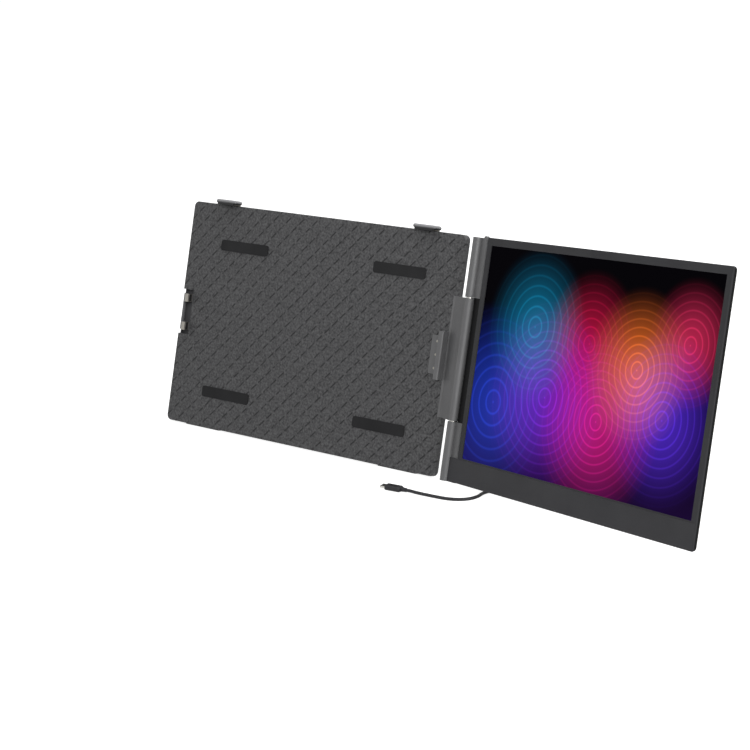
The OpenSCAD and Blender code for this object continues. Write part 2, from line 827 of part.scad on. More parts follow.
module panel_tray() {
    color("#8d8f92") on_display() difference() {
        box([pic_x0 - 2.3, panel_y + panel_t, pic_z0 - 2.3], [pic_x1 + 2.3, tray_back, pic_z1 + 2.3]);
        for (p = leaf_screw_at) {
            rod_y(p[0], p[1], panel_y + panel_t + 0.2, tray_back + 1, screw_d + fit);
        }
    }
}

// The electronics housing, proud of the shell's back, drawn grown by g.
module bulge(g) {
    slab(bulge_x0 - g, bulge_x1 + g, bulge_z0 - g, bulge_z1 + g, 3,
        [[shell_y - 1, bulge_y - 2.4 + g, 0], [bulge_y - 0.1 + g, bulge_y + g, 2.4]]);
}

// The shell is blunt at its left edge, where the leaves' flanges close it, and between them it
// has a side wall and a web that fills the gap behind the middle knuckle.
module back_shell() {
    in = shell_wall;
    tail_x = disp_x0 - 14;
    web_x = barrel_r + 0.3;
    web_y = leaf_y - 2.35;
    color("#161617") on_display() difference() {
        union() {
            difference() {
                slab(tail_x, disp_x1, disp_z0, disp_z1, display_r,
                    [[rim_y, rim_y + 2.8, 0], [shell_y - 0.6, shell_y - 0.5, 4.4], [shell_y - 0.1, shell_y, 7]]);
                slab(tail_x + in, disp_x1 - in, disp_z0 + in, disp_z1 - in, display_r - in,
                    [[rim_y - 1, rim_y + 2.2, 0], [shell_y - 1.4, shell_y - 1.2, 5]]);
                box([tail_x - 1, rim_y - 1, disp_z0 - 1], [disp_x0, shell_y + 1, disp_z1 + 1]);
            }
            box([disp_x0, rim_y, leaf_low + 1], [disp_x0 + in, shell_y - 0.5, leaf_high - 1]);
            box([web_x, web_y, leaf_low + 0.4], [disp_x0 + e, leaf_y, leaf_high - 0.4]);
            bulge(0);
        }
        slab(bulge_x0 + 1.4, bulge_x1 - 1.4, bulge_z0 + 1.4, bulge_z1 - 1.4, 2,
            [[shell_y - 2, bulge_y - 2.4, 0], [bulge_y - 1.4, bulge_y - 1.3, 1.6]]);
        // Mouths of the sockets, buttons and screws.
        for (z = usb_z) port_cut(z, 9.2, port_h + 0.2);
        port_cut(hdmi_z, 11.4, port_h + 0.2);
        for (x = button_x) rod_y(x, button_z, bulge_y - 3, bulge_y + 1, button_d + 0.3);
        for (p = shell_screw_at) rod_y(p[0], p[1], shell_y - 2, shell_y + 1, screw_d + 0.2);
        for (p = shell_screw_at) rod_y(p[0], p[1], shell_y - 0.7, shell_y + 1, head_d + 0.2);
    }
}

// A slot with round ends through the housing's left wall.
module port_cut(z, w, h) {
    translate([bulge_x0 - 1, port_y, z]) rotate([90, 0, 90]) linear_extrude(height = 4)
        pill(h, w);
}

// A pill shape, x across its thickness and y along its width.
module pill(t, w) {
    translate([-t / 2, (t - w) / 2]) square([t, w - t]);
    for (s = [-1, 1]) translate([0, s * (w - t) / 2]) circle(d = t, $fn = 24);
}

module shell_screws() {
    color("#2a2a2b") on_display()
        for (p = shell_screw_at) screw(p[0], p[1], shell_y - 0.7, 0.6, tray_back + 0.1);
}

module driver_board() {
    color("#1f4a33") on_display()
        box([bulge_x0 + 1.6, board_y, bulge_z0 + 3], [bulge_x1 - 3, board_y + board_t, bulge_z1 - 3]);
}

// A socket's drawn-steel shell with its tongue, its mouth in the housing's left end.
module socket(z, w, t) {
    x0 = bulge_x0 + 0.2;
    translate([x0, port_y, z]) {
        difference() {
            rotate([90, 0, 90]) linear_extrude(height = socket_depth) pill(t, w);
            translate([-1, 0, 0]) rotate([90, 0, 90]) linear_extrude(height = socket_depth)
                pill(t - 0.6, w - 0.6);
        }
        translate([2, -0.35, 1.7 - w / 2]) cube([socket_depth - 2.5, 0.7, w - 3.4]);
    }
}

module usb_c_sockets() {
    color("#a5a7aa") on_display() for (z = usb_z) socket(z, 9, port_h);
}

module mini_hdmi_socket() {
    color("#a5a7aa") on_display() socket(hdmi_z, 11.2, port_h);
}

// A round push button, its stem behind the cap reaching to the board.
module button(x) {
    proud = 0.8;
    color("#2b2b2c") on_display() {
        rod_y(x, button_z, bulge_y - 1.6, bulge_y + proud, button_d);
        rod_y(x, button_z, bulge_y - 2.2, bulge_y - 1.6 + e, button_d + 1.6);
        rod_y(x, button_z, board_y + board_t + button_travel + 0.05, bulge_y - 2.2 + e, 3);
    }
}

// ---------------------------------------------------------------- kickstand

module stand_panel() {
    half = stand_w / 2;
    t = stand_t / 2;
    low = foot_r - stand_l;
    knuckle_clear = knuckle_r + 0.4;
    color("#4a4a4b") on_stand() difference() {
        union() {
            sheet(-t, t) difference() {
                rounded(-half, half, low, -knuckle_clear, 5);
                for (s = [-1, 1]) {
                    translate([s * half, low]) rotate(45) square([22, 22], center = true);
                }
                rounded(-half + 34, half - 34, low + 22, low + 34, 5.9);
            }
            for (s = [-1, 1]) {
                x = s * stand_lug_x;
                w = stand_knuckle_w / 2;
                rod_x(0, 0, x - w, x + w, 2 * knuckle_r);
                box([x - w, -t, -knuckle_clear - 1], [x + w, t, 0]);
            }
        }
        for (s = [-1, 1]) {
            rod_x(0, 0, s * stand_lug_x - 12, s * stand_lug_x + 12, stand_pin_d + fit);
        }
    }
}

module stand_foot() {
    w = stand_w / 2 - 14;
    low = foot_r - stand_l;
    color("#1a1a1a") on_stand() difference() {
        rod_x(0, low, -w, w, 2 * foot_r);
        box([-w - 1, -foot_r - 1, low], [w + 1, foot_r + 1, low + 3]);
    }
}

module stand_pins() {
    reach = stand_knuckle_w / 2 + stand_lug_w;
    color("#9b9ba0") placed()
        for (s = [-1, 1]) {
            rod_x(stand_y, stand_z, s * stand_lug_x - reach, s * stand_lug_x + reach, stand_pin_d);
        }
}

// ---------------------------------------------------------------- lead

// A plug's moulded grip with its strain relief, along x, its mouth end at x = 0.
module plug_grip() {
    rotate([90, 0, 90]) difference() {
        hull() {
            linear_extrude(height = plug_l - 2) pill(plug_t, plug_w);
            translate([0, 0, plug_l - 0.5]) linear_extrude(height = 0.5) pill(plug_t - 1.4, plug_w - 1.8);
        }
        for (k = [0:3], s = [-1, 1]) {
            translate([s * plug_t / 2, 0, 6 + 2.4 * k]) cube([0.6, plug_w - 4, 1.2], center = true);
        }
    }
    translate([plug_l - e, 0, 0]) rotate([0, 90, 0]) difference() {
        cylinder(h = relief_l, d1 = cord_d + 1.4, d2 = cord_d + 0.8, $fn = 24);
        translate([0, 0, relief_l - 3]) cylinder(h = 4, d = cord_d + 0.2, $fn = 24);
    }
}

// The plug's metal shell, open at its mouth, in front of the grip.
module plug_shell() {
    translate([-shell_l, 0, 0]) rotate([90, 0, 90]) difference() {
        linear_extrude(height = shell_l) pill(shell_t, shell_w);
        translate([0, 0, -1]) linear_extrude(height = shell_l - 1) pill(shell_t - 0.7, shell_w - 0.7);
    }
}

// The first plug sits in the display's lower socket, and its grip points back to the hinge.
module in_socket() {
    on_display() translate([bulge_x0 - 0.4, port_y, usb_z[0]]) mirror([1, 0, 0]) children();
}

// The second plug lies on the floor where the laptop's own socket would be.
module on_floor() {
    translate([plug_at[0], plug_at[1], floor_z + plug_t / 2]) rotate([0, 0, plug_turn])
        translate([-plug_l - relief_l, 0, 0]) rotate([90, 0, 0]) children();
}

module plug_display() {
    color("#2e2e2f") in_socket() plug_grip();
}

module plug_laptop() {
    color("#2e2e2f") on_floor() plug_grip();
}

module plug_shells() {
    color("#b9bbbe") {
        in_socket() plug_shell();
        on_floor() plug_shell();
    }
}

module cord() {
    color("#2e2e2f") tube(smooth(cord_route, cord_steps), cord_d / 2, 8);
}

// ---------------------------------------------------------------- nodes

front_plate();
back_cover();
cover_screws();
lid_pads();
bottom_pads();
hook_right();
hook_right_pad();
hook_rivets();
claw_left_slide();
claw_left_hook();
claw_left_pad();
claw_left_spring();
top_slide(-1);  // claw_top_left_slide
top_hook(-1);  // claw_top_left_hook
top_pad(-1);  // claw_top_left_pad
top_spring(-1);  // claw_top_left_spring
top_slide(1);  // claw_top_right_slide
top_hook(1);  // claw_top_right_hook
top_pad(1);  // claw_top_right_pad
top_spring(1);  // claw_top_right_spring
hinge_arm();
hinge_arm_screws();
stand_pins();
stand_panel();
stand_foot();
hinge_leaf();
hinge_pins();
friction_washers();
barrel_caps();
leaf_screws();
display_bezel();
chin_cover();
screen_panel();
panel_tray();
back_shell();
shell_screws();
driver_board();
usb_c_sockets();
mini_hdmi_socket();
button(button_x[0]);  // power_button
button(button_x[1]);  // plus_button
button(button_x[2]);  // minus_button
plug_display();
plug_laptop();
plug_shells();
cord();
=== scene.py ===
# %% [markdown]
# # A laptop screen extender
# A second display hangs beside a laptop's own. A flat plastic frame clamps behind the lid, a
# three-knuckle friction hinge carries the display, and a short lead brings it power and picture.
# The rigid pieces come from the CAD model. This lesson builds the soft lead and the small strips
# that close the hinge's recess, gives every piece its finish, and sets the light and camera.

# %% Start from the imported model
import json
import math

import bpy
from mathutils import Matrix, Vector


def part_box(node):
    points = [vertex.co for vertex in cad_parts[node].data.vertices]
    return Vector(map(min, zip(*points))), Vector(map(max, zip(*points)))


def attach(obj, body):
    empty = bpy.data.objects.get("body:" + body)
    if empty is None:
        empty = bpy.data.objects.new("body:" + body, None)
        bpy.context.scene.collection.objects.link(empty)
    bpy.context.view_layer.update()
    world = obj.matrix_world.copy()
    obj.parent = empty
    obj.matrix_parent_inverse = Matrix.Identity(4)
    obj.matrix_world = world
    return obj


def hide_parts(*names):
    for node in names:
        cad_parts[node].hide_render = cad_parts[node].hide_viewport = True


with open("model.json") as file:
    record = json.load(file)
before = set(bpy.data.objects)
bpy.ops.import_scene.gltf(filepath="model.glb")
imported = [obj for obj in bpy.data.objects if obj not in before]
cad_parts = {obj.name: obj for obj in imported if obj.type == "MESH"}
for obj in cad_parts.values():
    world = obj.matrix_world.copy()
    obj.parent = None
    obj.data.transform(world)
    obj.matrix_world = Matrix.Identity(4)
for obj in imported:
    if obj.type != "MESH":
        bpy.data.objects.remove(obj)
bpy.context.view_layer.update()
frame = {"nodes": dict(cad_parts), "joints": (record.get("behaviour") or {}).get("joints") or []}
nodes = frame["nodes"]
MM = 0.001
print("CAD pieces:", len(nodes))

# %% [markdown]
# The camera stands a little above and well to the right of the object, where the display's
# picture, the hinge and the frame's edge all show. A long lens keeps the long edges nearly
# parallel. A camera looks along its own -Z axis, so its three axes are written straight into its
# matrix: to the right, up, and back towards the viewer. A small roll turns the first two.

# %% Camera
CAMERA_AT = Vector((1.4447, -1.5925, 0.6281))
CAMERA_YAW = math.radians(-40.434)
CAMERA_PITCH = math.radians(17.590)
CAMERA_ROLL = math.radians(-3.976)
LENS = 99.6

ahead = Vector((
    math.sin(CAMERA_YAW) * math.cos(CAMERA_PITCH),
    math.cos(CAMERA_YAW) * math.cos(CAMERA_PITCH),
    -math.sin(CAMERA_PITCH),
))
level = ahead.cross(Vector((0, 0, 1))).normalized()
upright = level.cross(ahead)
right = level * math.cos(CAMERA_ROLL) + upright * math.sin(CAMERA_ROLL)
up = upright * math.cos(CAMERA_ROLL) - level * math.sin(CAMERA_ROLL)

camera_data = bpy.data.cameras.new("camera")
camera_data.lens = LENS
camera_data.sensor_width = 36
camera = bpy.data.objects.new("camera", camera_data)
bpy.context.scene.collection.objects.link(camera)
camera_axes = Matrix((right, up, -ahead)).transposed().to_4x4()
camera.matrix_world = Matrix.Translation(CAMERA_AT) @ camera_axes
bpy.context.scene.camera = camera
print("camera is", round(CAMERA_AT.length, 2), "m from the frame's middle")

# %% [markdown]
# ## The lead
# The lead is the only soft thing here: a round cable of 3.4 mm with a soft matt jacket, short
# because it only spans from the display to the laptop beside it. It leaves the display's socket
# behind the chin, drops to the table, lies there in one loose loop that takes up its spare
# length, and ends in the laptop's side. The route's points are listed a few centimetres apart
# and closer in the bends, and a smooth curve is run through them.

# %% The lead's route
CABLE_D = 3.4
STEPS_PER_POINT = 8
ROUTE = [
    (285.1, -56.3, -92), (279, -54.4, -92.6), (271.5, -51.6, -94.5), (263, -46.5, -99.5),
    (256, -37, -107.5), (252, -25, -115.5), (252, -11, -119.7), (258, 2, -119.7),
    (269, 10, -119.7), (282, 10, -119.7), (291, 1, -119.7), (292, -12, -119.7),
    (285, -22.5, -119.7), (275, -29.5, -119.7), (265.5, -37, -119.7), (260.5, -47, -119.7),
    (260.8, -58.5, -119.7), (257.5, -67.5, -119.7), (249.5, -74.5, -119.7), (238, -78.7, -119.7),
    (225, -80, -119.7), (212, -80.5, -119.7), (201, -81.2, -119.4), (194, -81.9, -118.8),
    (187.5, -82.4, -118.7),
]


def smooth_route(points, steps):
    """Points of a smooth curve that runs through every point of the route."""
    made = []
    for i in range(len(points) - 1):
        a = Vector(points[max(i - 1, 0)])
        b = Vector(points[i])
        c = Vector(points[i + 1])
        d = Vector(points[min(i + 2, len(points) - 1)])
        for k in range(steps):
            t = k / steps
            made.append(0.5 * (
                2 * b + (c - a) * t + (2 * a - 5 * b + 4 * c - d) * t * t
                + (3 * b - a - 3 * c + d) * t ** 3))
    return [*made, Vector(points[-1])]


line = [p * MM for p in smooth_route(ROUTE, STEPS_PER_POINT)]

# %% [markdown]
# A curve with one spline is the natural way to make a cable: it keeps its centreline, and a bevel
# gives it its thickness. A curve's own box takes in the radius of its points, so the real radius
# is set on the points and the bevel's depth is left at one. The two plugs and their metal shells
# are CAD pieces that belong to the lead.

# %% The lead's cable
cable_data = bpy.data.curves.new("lead_cable", "CURVE")
cable_data.dimensions = "3D"
cable_data.bevel_depth = 1
cable_data.bevel_resolution = 5
cable_data.use_fill_caps = True
spline = cable_data.splines.new("POLY")
spline.points.add(len(line) - 1)
for point, place in zip(spline.points, line):
    point.co = (*place, 1)
    point.radius = CABLE_D / 2 * MM
cable = bpy.data.objects.new("lead_cable", cable_data)
bpy.context.scene.collection.objects.link(cable)
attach(cable, "display")
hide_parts("cord")
print("cable's points:", len(spline.points))

# %% [markdown]
# ## Strips that close the hinge's recess
# The middle knuckle turns in a recess of the display, and light must not show round it. All that
# closes it is straight along the hinge's axis, so one function makes every strip. A filled circle
# is added with one point for each corner of the profile, each point is moved to its corner, the
# face is extruded along the axis, and a small bevel rounds the edges. The strip is then laid on
# the axis: the frame leans back, and the display is also turned towards the user.

# %% A strip along the hinge
LEAN = math.radians(18.35)
SWING = math.radians(18.15)
hinge = next(joint for joint in frame["joints"] if joint["name"] == "display_hinge")


def hinge_strip(name, profile, low, high, edge, body, swing):
    """A strip by the corners of its profile, its two ends and its soft edge, in millimetres."""
    bpy.ops.object.select_all(action="DESELECT")
    bpy.ops.mesh.primitive_circle_add(vertices=len(profile), radius=MM, fill_type="NGON")
    strip = bpy.context.object
    strip.name = name
    for vertex, (x, y) in zip(strip.data.vertices, profile):
        vertex.co = (x * MM, y * MM, low * MM)
    bpy.ops.object.mode_set(mode="EDIT")
    bpy.ops.mesh.select_all(action="SELECT")
    bpy.ops.mesh.extrude_region_move(TRANSFORM_OT_translate={"value": (0, 0, (high - low) * MM)})
    bpy.ops.mesh.select_all(action="SELECT")
    bpy.ops.mesh.normals_make_consistent(inside=False)
    bpy.ops.object.mode_set(mode="OBJECT")
    soft_edge = strip.modifiers.new("soft_edge", "BEVEL")
    soft_edge.width = edge * MM
    soft_edge.segments = 2
    bpy.ops.object.modifier_apply(modifier="soft_edge")
    strip.matrix_world = (
        Matrix.Translation(hinge["pos_m"]) @ Matrix.Rotation(-LEAN, 4, "X")
        @ Matrix.Rotation(-swing, 4, "Z"))
    bpy.ops.object.transform_apply(location=True, rotation=True, scale=True)
    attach(strip, body)
    print(name + ":", len(strip.data.polygons), "faces")
    return strip


# %% [markdown]
# The display's own part is a thin moulded liner that lies over the shell's edge. It ends in a lip
# a third of a millimetre from the barrel. The lip can't come closer: its tip just clears the arm,
# both when the display is folded flat and when it is swung right back.

# %% The liner
# Corners of the liner's section, in millimetres from the hinge's axis: x along the display, y back.
LINER_PROFILE = [
    (4.78, 2.7), (4.95, 3.3), (5.43, 5.02), (18.0, 5.02), (18.0, 2.4), (6.2, 1.9)]
LINER_END = 63.5

liner = hinge_strip(
    "hinge_recess_liner", LINER_PROFILE, -LINER_END, LINER_END, 0.08, "display", SWING)

# %% [markdown]
# A rubber seal on the barrel's hidden side fills most of what is left, and passes under the lip
# as the hinge turns. The knuckles stand a millimetre apart, and a small tongue on the display
# closes that gap at each end, outside the friction washer. Both shapes lie between two arcs round
# the axis, so each profile is an outer arc one way and an inner arc back.

# %% The seal and the tongues
BARREL_R = 5.15
WASHER_R = 3.75
KNUCKLE_END = 62.5
FIT = 0.1
SEAL_SUNK = 0.05
SEAL_PROUD = 0.26
SEAL_ANGLES = (7, 22)
TONGUE_T = 0.8
TONGUE_PROUD = 0.45
TONGUE_ANGLES = (12, 36)


def ring_piece(inner, outer, angles, steps):
    """A profile between two arcs round the axis, which start and end at two angles in degrees."""
    start, end = angles
    turns = [math.radians(start + (end - start) * k / steps) for k in range(steps + 1)]
    outside = [(outer * math.cos(a), outer * math.sin(a)) for a in turns]
    inside = [(inner * math.cos(a), inner * math.sin(a)) for a in reversed(turns)]
    return outside + inside


seal = hinge_strip(
    "knuckle_seal", ring_piece(BARREL_R - SEAL_SUNK, BARREL_R + SEAL_PROUD, SEAL_ANGLES, 4),
    -KNUCKLE_END, KNUCKLE_END, 0.03, "frame", 0)
tongue_profile = ring_piece(WASHER_R + FIT, BARREL_R + TONGUE_PROUD, TONGUE_ANGLES, 3)
tongues = [
    hinge_strip(name, tongue_profile, low, low + TONGUE_T, 0.05, "display", SWING)
    for name, low in (("knuckle_gap_tongue_top", KNUCKLE_END + FIT),
                      ("knuckle_gap_tongue_bottom", -KNUCKLE_END - FIT - TONGUE_T))]

# %% [markdown]
# ## How the finishes are made
# Colours are written as they look on a screen, in hex, and one function turns them to the linear
# values that a renderer adds up. A pattern's size is written in millimetres, and another function
# turns it to the scale that a texture node takes.

# %% Colours and sizes
def colour(hex_code):
    """A screen colour as the linear one that the renderer uses."""
    parts = [int(hex_code[i:i + 2], 16) / 255 for i in (1, 3, 5)]
    linear = [c / 12.92 if c <= 0.04045 else ((c + 0.055) / 1.055) ** 2.4 for c in parts]
    return (*linear, 1)


def per_mm(size):
    """The scale that makes a pattern repeat once in that many millimetres."""
    return 1 / (size * MM)


print("mid grey is", round(colour("#808080")[0], 3), "in linear light")
print("a grain of 0.6 mm has a scale of", round(per_mm(0.6)))

# %% [markdown]
# Every finish starts as a Principled shader with a plain colour, and a few nodes then break that
# colour up. One function adds a node with its settings and its inputs, where an input is either a
# value or the output of an earlier node.

# %% Nodes and new finishes
def add_node(tree, kind, inputs=None, **settings):
    """Adds a node, sets it up, and gives each input a value or links it."""
    node = tree.nodes.new(kind)
    for name, value in settings.items():
        setattr(node, name, value)
    for socket, value in (inputs or {}).items():
        if isinstance(value, bpy.types.NodeSocket):
            tree.links.new(value, node.inputs[socket])
        else:
            node.inputs[socket].default_value = value
    return node


def start_finish(name, **values):
    """A new material: its node tree and its Principled shader, with plain values set on it."""
    material = bpy.data.materials.new(name)
    material.use_nodes = True
    tree = material.node_tree
    shader = tree.nodes["Principled BSDF"]
    for socket, value in values.items():
        shader.inputs[socket.replace("_", " ")].default_value = value
    return material, tree, shader


print("finishes before this lesson's own:", len(bpy.data.materials))

# %% [markdown]
# Most of what shows is moulded plastic. The mould's cavity is spark-eroded or etched, which
# leaves a fine satin grain, and the melt leaves slow changes in shade. Two noises make that: a
# large one shifts the colour a little, a small one roughens the surface. The real grain is about
# 0.1 mm, which is too fine to show from here, so it is drawn several times coarser. A noise
# gathers round its middle value, so only that part of it is used.

# %% Shade and grain
NOISE_LOW = 0.3
NOISE_HIGH = 0.7
GLOSS_SPREAD = 0.08


def mottle(tree, light, dark, size, contrast=(0.35, 0.65)):
    """A colour that drifts between two shades over that many millimetres."""
    place = add_node(tree, "ShaderNodeTexCoord").outputs["Object"]
    cloud = add_node(tree, "ShaderNodeTexNoise", {
        "Vector": place, "Scale": per_mm(size), "Detail": 4.0})
    ramp = add_node(tree, "ShaderNodeMapRange", {
        "Value": cloud.outputs["Fac"], "From Min": contrast[0], "From Max": contrast[1]})
    mix = add_node(tree, "ShaderNodeMix", {
        "Factor": ramp.outputs["Result"], "A": colour(dark), "B": colour(light)},
        data_type="RGBA")
    return mix.outputs["Result"]


def grain(tree, shader, size, depth, roughness):
    """A fine grain in the height and the gloss, with grains of that many millimetres."""
    place = add_node(tree, "ShaderNodeTexCoord").outputs["Object"]
    fine = add_node(tree, "ShaderNodeTexNoise", {
        "Vector": place, "Scale": per_mm(size), "Detail": 2.0})
    bump = add_node(tree, "ShaderNodeBump", {
        "Height": fine.outputs["Fac"], "Strength": 0.35, "Distance": depth * MM})
    rough = add_node(tree, "ShaderNodeMapRange", {
        "Value": fine.outputs["Fac"], "From Min": NOISE_LOW, "From Max": NOISE_HIGH,
        "To Min": roughness - GLOSS_SPREAD, "To Max": roughness + GLOSS_SPREAD})
    tree.links.new(bump.outputs["Normal"], shader.inputs["Normal"])
    tree.links.new(rough.outputs["Result"], shader.inputs["Roughness"])
    return bump


print("gloss varies by", GLOSS_SPREAD, "either way")

# %% [markdown]
# ## Finishes of the frame
# The front of the frame carries a moulded pattern that helps it grip the lid: short slanted
# slashes in rows about 13 mm apart, crossed by fainter ones, over a mottled grey. A slash is a
# thin line across its row, cut into lengths along it. Ping-pong turns a straight coordinate into
# even teeth, once across the rows and once along them. The frame leans back, so a Mapping node
# turns the pattern's own axes with it.

# %% Patterns on leaning faces
FRAME_TURN = (-LEAN, 0, 0)
SOFT_END = 0.2


def turned(tree, at, rotation, unit=1.0):
    """Object coordinates seen from axes that stand at a place and are turned with a piece."""
    place = add_node(tree, "ShaderNodeTexCoord").outputs["Object"]
    mapping = add_node(tree, "ShaderNodeMapping", {
        "Vector": place, "Location": at, "Rotation": rotation, "Scale": (unit, unit, unit)},
        vector_type="TEXTURE")
    return mapping.outputs["Vector"]


def teeth(tree, along, pitch, low, high):
    """Even teeth along a coordinate, a pitch apart: nought at each middle, one between them."""
    count = add_node(tree, "ShaderNodeMath", {0: along, 1: per_mm(pitch / 2)},
                     operation="MULTIPLY")
    tooth = add_node(tree, "ShaderNodeMath", {0: count.outputs[0], 1: 1.0}, operation="PINGPONG")
    edge = add_node(tree, "ShaderNodeMapRange", {
        "Value": tooth.outputs[0], "From Min": low, "From Max": high},
        interpolation_type="SMOOTHSTEP")
    return edge.outputs["Result"]


def slashes(tree, place, angle, pitch, width, length):
    """One inside each short slash and nought between, for rows at an angle in x and z."""
    spin = add_node(tree, "ShaderNodeMapping", {"Vector": place, "Rotation": (0, angle, 0)})
    axes = add_node(tree, "ShaderNodeSeparateXYZ", {"Vector": spin.outputs["Vector"]})
    off_row = teeth(tree, axes.outputs["Z"], pitch, 0.0, width / pitch)
    on_row = add_node(tree, "ShaderNodeMath", {0: 1.0, 1: off_row}, operation="SUBTRACT")
    gap = 1 - length / pitch
    cut = teeth(tree, axes.outputs["X"], pitch, gap - SOFT_END, gap + SOFT_END)
    slash = add_node(tree, "ShaderNodeMath", {0: on_row.outputs[0], 1: cut},
                     operation="MULTIPLY")
    return slash.outputs[0]


print("the frame leans back", round(math.degrees(LEAN), 2), "degrees")

# %% [markdown]
# The main slashes are grooves, and the shade in them is painted into the colour as near black.
# A slow noise lets some of them fade, as they do where the mould is worn. The crossing ones are a
# third as strong. The same pattern that paints this shade also lowers the surface a little.

# %% The frame's front
SLASH_PITCH = 13.2
SLASH_ANGLE = math.radians(45)
SLASH_DEPTH = 0.3
MAIN_SLASH = {"width": 2.9, "length": 9.5}
CROSS_SLASH = {"width": 1.6, "length": 9.0}
CROSS_STRENGTH = 0.3
FADED_BELOW = 0.3
FULL_ABOVE = 0.48


# Spark-eroded ABS with a moulded grip pattern: dull, dark and mottled, with painted shade in the
# slashes.
def frame_front():
    """The finish of the frame's front."""
    material, tree, shader = start_finish("textured_abs_frame", IOR=1.52, Specular_IOR_Level=0.2)
    flat = turned(tree, (0, 0, 0), FRAME_TURN)
    main = slashes(tree, flat, SLASH_ANGLE, SLASH_PITCH, **MAIN_SLASH)
    cross = slashes(tree, flat, -SLASH_ANGLE, SLASH_PITCH, **CROSS_SLASH)
    patches = add_node(tree, "ShaderNodeTexNoise", {
        "Vector": flat, "Scale": per_mm(9), "Detail": 3.0})
    gate = add_node(tree, "ShaderNodeMapRange", {
        "Value": patches.outputs["Fac"], "From Min": FADED_BELOW, "From Max": FULL_ABOVE})
    main_cut = add_node(tree, "ShaderNodeMath", {0: main, 1: gate.outputs["Result"]},
                        operation="MULTIPLY")
    cross_cut = add_node(tree, "ShaderNodeMath", {0: cross, 1: CROSS_STRENGTH},
                         operation="MULTIPLY")
    cut = add_node(tree, "ShaderNodeMath", {0: main_cut.outputs[0], 1: cross_cut.outputs[0]},
                   operation="MAXIMUM")
    base = mottle(tree, "#525253", "#2e2e2f", 2.2, (0.32, 0.68))
    # The slashes darken the colour towards near black: painted shade in the grooves.
    dark = add_node(tree, "ShaderNodeMix", {
        "Factor": cut.outputs[0], "A": base, "B": colour("#121213")}, data_type="RGBA")
    tree.links.new(dark.outputs["Result"], shader.inputs["Base Color"])
    fine = grain(tree, shader, 0.7, 0.06, 0.52)
    down = add_node(tree, "ShaderNodeMath", {0: cut.outputs[0], 1: -1.0}, operation="MULTIPLY")
    slash_bump = add_node(tree, "ShaderNodeBump", {
        "Height": down.outputs[0], "Strength": 0.5, "Distance": SLASH_DEPTH * MM,
        "Normal": fine.outputs["Normal"]})
    tree.links.new(slash_bump.outputs["Normal"], shader.inputs["Normal"])
    return material


frame_plastic = frame_front()
print(frame_plastic.name, "has", len(frame_plastic.node_tree.nodes), "nodes")

# %% [markdown]
# The plain finishes differ only in their shades, their gloss and their grain, so one function
# makes them all. The back cover and the kickstand are moulded ABS. Pads, feet and claw faces are
# silicone rubber. The left claw's plate is stamped steel under a powder coat.

# %% Covers, rubber and the claw's plate
def moulded(name, light, dark, roughness, grain_size=0.6, depth=0.05, drift=30, ior=1.5,
            shine=0.2):
    """Textured plastic, rubber or powder coat, by its two shades, its gloss and its grain."""
    material, tree, shader = start_finish(name, IOR=ior, Specular_IOR_Level=shine)
    shade = mottle(tree, light, dark, drift)
    tree.links.new(shade, shader.inputs["Base Color"])
    grain(tree, shader, grain_size, depth, roughness)
    return material


# Spark-eroded ABS: an even dark grey that only glints softly at its edges.
cover_plastic = moulded("textured_abs_cover", "#434345", "#3f3f41", 0.55)
# Silicone rubber pressed in a matt mould: nearly black, and almost without gloss.
rubber = moulded("silicone_rubber", "#202021", "#19191a", 0.75, 0.5, 0.04, ior=1.41)
# Powder coat: mid grey and satin, with the slightly uneven shade of its orange-peel skin.
hook_metal = moulded("powder_coated_steel", "#59595b", "#4c4c4e", 0.45, 0.5, 0.05, 12)
print("plain finishes:", cover_plastic.name, rubber.name, hook_metal.name)

# %% [markdown]
# The hooks over the lid's top edge are grey plastic, lit from above and shaded beneath, and that
# light and shade is painted into their colour: a painted black shade low down passes into a
# painted pale grey higher up. The colour changes with height, measured up the leaning frame.

# %% The top hooks
HOOK_SHADE_UP_TO = 126.4 * MM
HOOK_LIGHT_FROM = 129.4 * MM


# Satin grey plastic with painted light and shade: light grey on top, black shade beneath.
def painted_light_hook():
    """The finish of the two hooks at the top."""
    material, tree, shader = start_finish("abs_hook_painted_light_and_shade", IOR=1.5,
                                          Specular_IOR_Level=0.25)
    flat = turned(tree, (0, 0, 0), FRAME_TURN)
    height = add_node(tree, "ShaderNodeSeparateXYZ", {"Vector": flat}).outputs["Z"]
    upper = add_node(tree, "ShaderNodeMapRange", {
        "Value": height, "From Min": HOOK_SHADE_UP_TO, "From Max": HOOK_LIGHT_FROM},
        interpolation_type="SMOOTHSTEP")
    # Painted shade is black under the bar, and painted light makes the top pale grey.
    mix = add_node(tree, "ShaderNodeMix", {
        "Factor": upper.outputs["Result"], "A": colour("#151516"), "B": colour("#858587")},
        data_type="RGBA")
    tree.links.new(mix.outputs["Result"], shader.inputs["Base Color"])
    grain(tree, shader, 0.5, 0.03, 0.42)
    return material


top_hook_finish = painted_light_hook()
print("the hooks' colour changes over", round((HOOK_LIGHT_FROM - HOOK_SHADE_UP_TO) / MM, 1), "mm")

# %% [markdown]
# Bare metal shows how it was made: rolling, drawing, turning and brushing all leave fine lines
# one way. A noise that is stretched along one axis draws them, in the colour, the gloss and the
# height. The lines are a few hundredths of a millimetre apart on the real pieces and are drawn
# ten times coarser here, so that they still break up a highlight.

# %% Metals
LINE_DEPTH = 0.02


